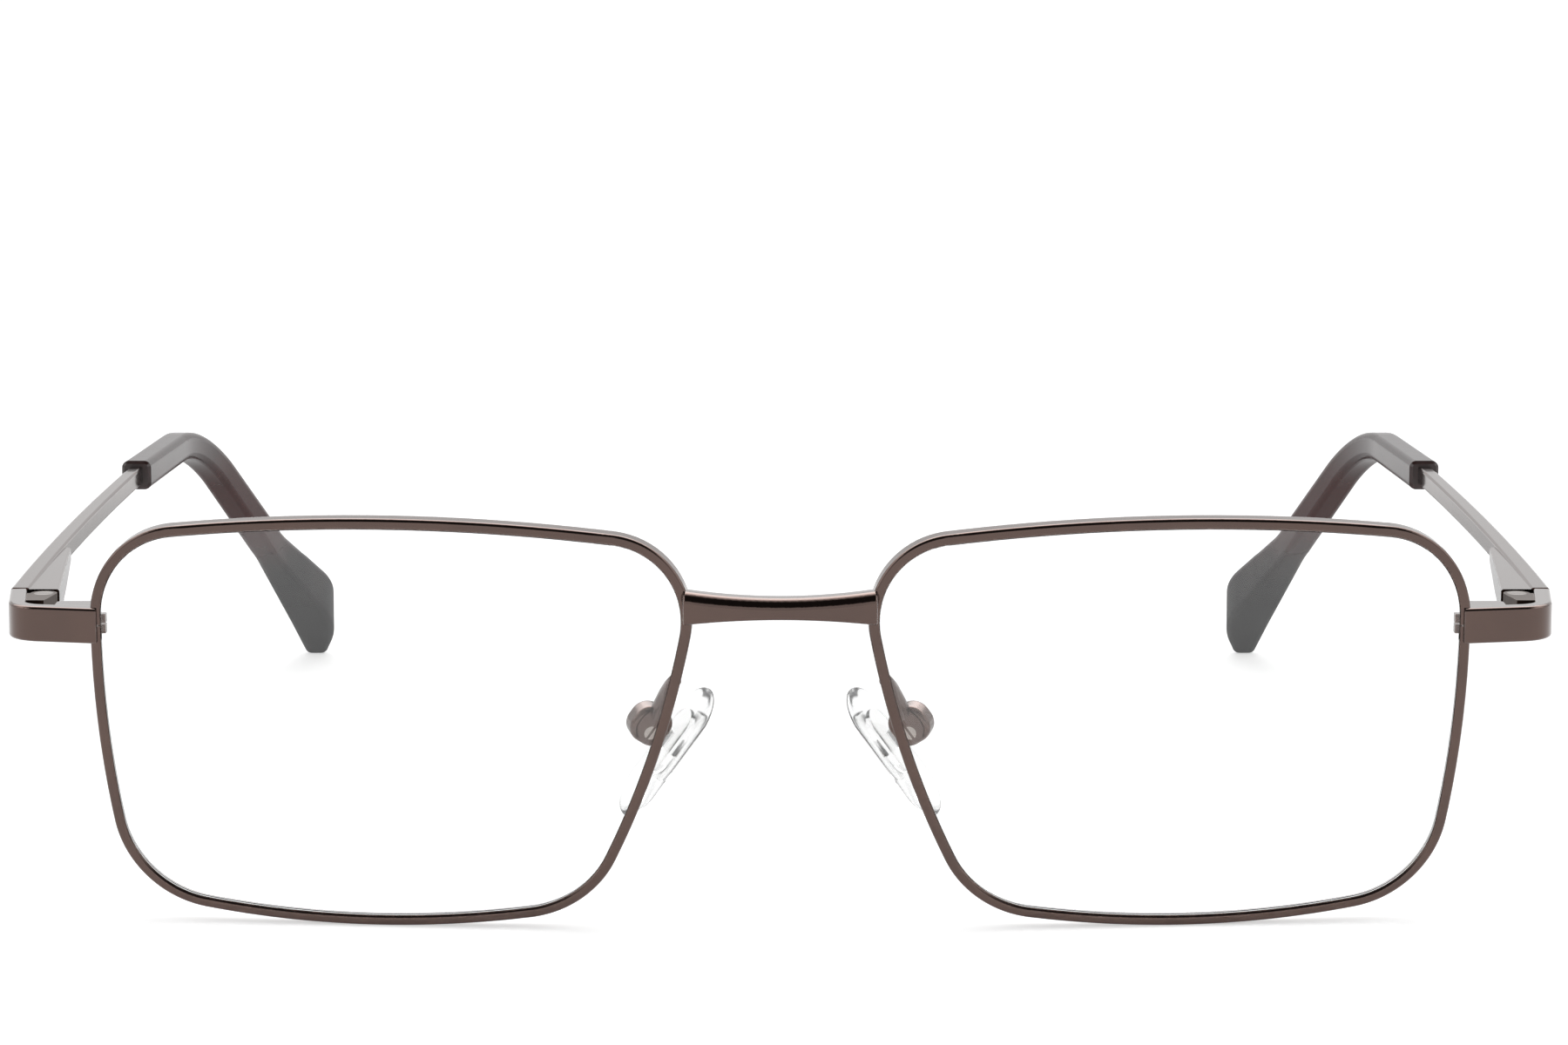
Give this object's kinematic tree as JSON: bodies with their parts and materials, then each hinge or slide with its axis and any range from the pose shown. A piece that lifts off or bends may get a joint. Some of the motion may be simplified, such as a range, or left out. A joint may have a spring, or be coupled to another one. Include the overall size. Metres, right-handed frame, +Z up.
{
  "type": "eyeglasses",
  "caption": "Full-rim rectangular metal eyeglasses with clear lenses, spring-hinged folding temples, rocking nose pads and dark acetate temple tips.",
  "frame": {"origin": "centre of the footprint, on the surface that the rims and temple tips stand on", "axes": "+X to the viewer's right across the front, +Y from the front to the temple tips, +Z up"},
  "size_m": [0.1446, 0.14, 0.039],
  "materials": {
    "frame_metal": "polished brown gunmetal plating",
    "screw_steel": "satin",
    "lens": "clear, polished",
    "tip_acetate": "polished dark brown, slightly see-through",
    "pad_silicone": "clear satin",
    "insert_plastic": "clear"
  },
  "bodies": {
    "front": {"bridge": "frame_metal", "rim_left": "frame_metal", "lens_left": "lens", "end_piece_left": "frame_metal", "closing_block_upper_left": "frame_metal", "closing_block_lower_left": "frame_metal", "rim_screw_left": "screw_steel", "hinge_fork_left": "frame_metal", "hinge_screw_left": "screw_steel", "pad_arm_left": "frame_metal", "pad_screw_left": "screw_steel", "rim_right": "frame_metal", "lens_right": "lens", "end_piece_right": "frame_metal", "closing_block_upper_right": "frame_metal", "closing_block_lower_right": "frame_metal", "rim_screw_right": "screw_steel", "hinge_fork_right": "frame_metal", "hinge_screw_right": "screw_steel", "pad_arm_right": "frame_metal", "pad_screw_right": "screw_steel"},
    "slider_left": {"hinge_slider_left": "screw_steel", "slider_nut_left": "screw_steel"},
    "temple_left": {"temple_left": "frame_metal", "temple_tip_left": "tip_acetate", "spring_housing_left": "frame_metal", "hinge_bush_left": "screw_steel", "hinge_spring_left": "screw_steel"},
    "pad_left": {"nose_pad_left": "pad_silicone", "pad_insert_left": "insert_plastic"},
    "slider_right": {"hinge_slider_right": "screw_steel", "slider_nut_right": "screw_steel"},
    "temple_right": {"temple_right": "frame_metal", "temple_tip_right": "tip_acetate", "spring_housing_right": "frame_metal", "hinge_bush_right": "screw_steel", "hinge_spring_right": "screw_steel"},
    "pad_right": {"nose_pad_right": "pad_silicone", "pad_insert_right": "insert_plastic"}
  },
  "joints": [
    {"name": "fold_left", "type": "hinge", "parent": "front", "child": "slider_left", "pos_m": [-0.06895, -0.05566, 0.02814], "axis": [0, 0, -1], "range_deg": [-4, 84]},
    {"name": "spring_travel_left", "type": "slide", "parent": "slider_left", "child": "temple_left", "axis": [0, 1, 0], "range_m": [0, 0.0009], "stiffness_N_per_m": 1500, "springref_m": -0.0012, "deforming": ["hinge_spring_left"]},
    {"name": "pad_rock_left", "type": "hinge", "parent": "front", "child": "pad_left", "pos_m": [-0.01233, -0.06183, 0.01807], "axis": [-0.3083, 0.9245, 0.224], "range_deg": [-8, 8]},
    {"name": "fold_right", "type": "hinge", "parent": "front", "child": "slider_right", "pos_m": [0.06895, -0.05566, 0.02814], "axis": [0, 0, 1], "range_deg": [-4, 77]},
    {"name": "spring_travel_right", "type": "slide", "parent": "slider_right", "child": "temple_right", "axis": [0, 1, 0], "range_m": [0, 0.0009], "stiffness_N_per_m": 1500, "springref_m": -0.0012, "deforming": ["hinge_spring_right"]},
    {"name": "pad_rock_right", "type": "hinge", "parent": "front", "child": "pad_right", "pos_m": [0.01233, -0.06183, 0.01807], "axis": [-0.3083, -0.9245, -0.224], "range_deg": [-8, 8]}
  ]
}
